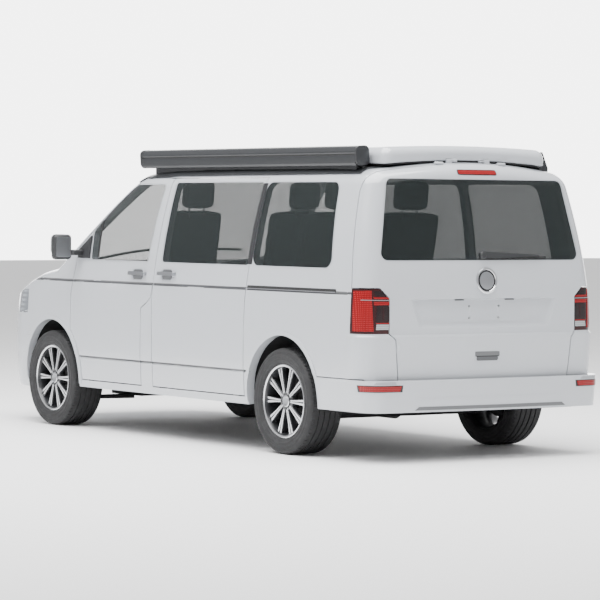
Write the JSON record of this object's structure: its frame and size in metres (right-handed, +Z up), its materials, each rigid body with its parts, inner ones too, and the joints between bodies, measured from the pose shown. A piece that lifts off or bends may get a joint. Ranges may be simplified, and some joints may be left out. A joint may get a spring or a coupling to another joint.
{
  "type": "camper van with pop-up roof",
  "caption": "White mid-size camper van with a pop-up roof, a side awning, hinged doors, bonnet and tailgate, and steered front wheels.",
  "frame": {"origin": "on the ground, at mid-length of the body, on the centreline", "axes": "+X towards the nose, +Y towards the left side, +Z up"},
  "size_m": [4.9036, 2.292, 1.9899],
  "materials": {
    "paint": "glossy white paint",
    "glass": "smoked glass",
    "black_plastic": "grained black plastic",
    "headlight": "clear lens over a bright housing",
    "tail_lamp": "red lens",
    "anodised_case": "anthracite powder coat",
    "underbody": "black underseal",
    "cast_metal": "cast metal",
    "chassis": "black chassis paint",
    "seat_fabric": "woven seat cloth",
    "cabinet": "light grey laminate",
    "canvas": "pleated tent cloth",
    "tyre": "black rubber",
    "rim": "diamond-turned alloy"
  },
  "bodies": {
    "root": {"floor_pan": "underbody", "left_side_panel": "paint", "right_side_panel": "paint", "roof_frame": "paint", "front_wings": "paint", "cowl_panel": "black_plastic", "front_bumper": "paint", "grille": "black_plastic", "headlights": "headlight", "windscreen": "glass", "sliding_door": "paint", "side_windows": "glass", "tail_lamps": "tail_lamp", "rear_bumper": "paint", "awning": "anodised_case", "roof_rails": "anodised_case", "powertrain": "cast_metal", "front_axle": "chassis", "rear_axle": "chassis", "dashboard": "black_plastic", "steering_wheel": "black_plastic", "front_seats": "seat_fabric", "rear_bench": "seat_fabric", "kitchen_unit": "cabinet", "roof_canvas": "canvas"},
    "door_left": {"front_door_left": "paint", "door_glass_left": "glass", "mirror_left": "black_plastic"},
    "door_right": {"front_door_right": "paint", "door_glass_right": "glass", "mirror_right": "black_plastic"},
    "tailgate": {"tailgate": "paint", "rear_window": "glass", "rear_wiper": "black_plastic"},
    "bonnet": {"bonnet": "paint"},
    "pop_roof": {"pop_roof": "paint"},
    "knuckle_left": {"knuckle_left": "cast_metal"},
    "knuckle_right": {"knuckle_right": "cast_metal"},
    "wheel_front_left": {"tyre_front_left": "tyre", "rim_front_left": "rim"},
    "wheel_front_right": {"tyre_front_right": "tyre", "rim_front_right": "rim"},
    "wheel_rear_left": {"tyre_rear_left": "tyre", "rim_rear_left": "rim"},
    "wheel_rear_right": {"tyre_rear_right": "tyre", "rim_rear_right": "rim"}
  },
  "joints": [
    {"name": "front_left_door_hinge", "type": "hinge", "parent": "root", "child": "door_left", "pos_m": [1.2, 0.946, 0.7], "axis": [0, 0, -1], "range_deg": [0, 65]},
    {"name": "front_right_door_hinge", "type": "hinge", "parent": "root", "child": "door_right", "pos_m": [1.2, -0.946, 0.7], "axis": [0, 0, 1], "range_deg": [0, 65]},
    {"name": "tailgate_hinge", "type": "hinge", "parent": "root", "child": "tailgate", "pos_m": [-2.186, 0, 1.874], "axis": [0, 1, 0], "range_deg": [0, 85]},
    {"name": "bonnet_hinge", "type": "hinge", "parent": "root", "child": "bonnet", "pos_m": [1.674, 0, 1.161], "axis": [0, -1, 0], "range_deg": [0, 50]},
    {"name": "pop_roof_hinge", "type": "hinge", "parent": "root", "child": "pop_roof", "pos_m": [-2.16, 0, 1.893], "axis": [0, -1, 0], "range_deg": [0, 18]},
    {"name": "steer_left", "type": "hinge", "parent": "root", "child": "knuckle_left", "pos_m": [1.544, 0.78, 0.343], "axis": [0, 0, 1], "range_deg": [-34, 34]},
    {"name": "steer_right", "type": "hinge", "parent": "root", "child": "knuckle_right", "pos_m": [1.544, -0.78, 0.343], "axis": [0, 0, 1], "range_deg": [-34, 34]},
    {"name": "wheel_front_left_spin", "type": "hinge", "parent": "knuckle_left", "child": "wheel_front_left", "pos_m": [1.544, 0.819, 0.343], "axis": [0, 1, 0], "continuous": true},
    {"name": "wheel_front_right_spin", "type": "hinge", "parent": "knuckle_right", "child": "wheel_front_right", "pos_m": [1.544, -0.819, 0.343], "axis": [0, 1, 0], "continuous": true},
    {"name": "wheel_rear_left_spin", "type": "hinge", "parent": "root", "child": "wheel_rear_left", "pos_m": [-1.456, 0.819, 0.343], "axis": [0, 1, 0], "continuous": true},
    {"name": "wheel_rear_right_spin", "type": "hinge", "parent": "root", "child": "wheel_rear_right", "pos_m": [-1.456, -0.819, 0.343], "axis": [0, 1, 0], "continuous": true}
  ],
  "couplings": [
    {"joint": "steer_right", "follows": "steer_left", "ratio": 1}
  ]
}
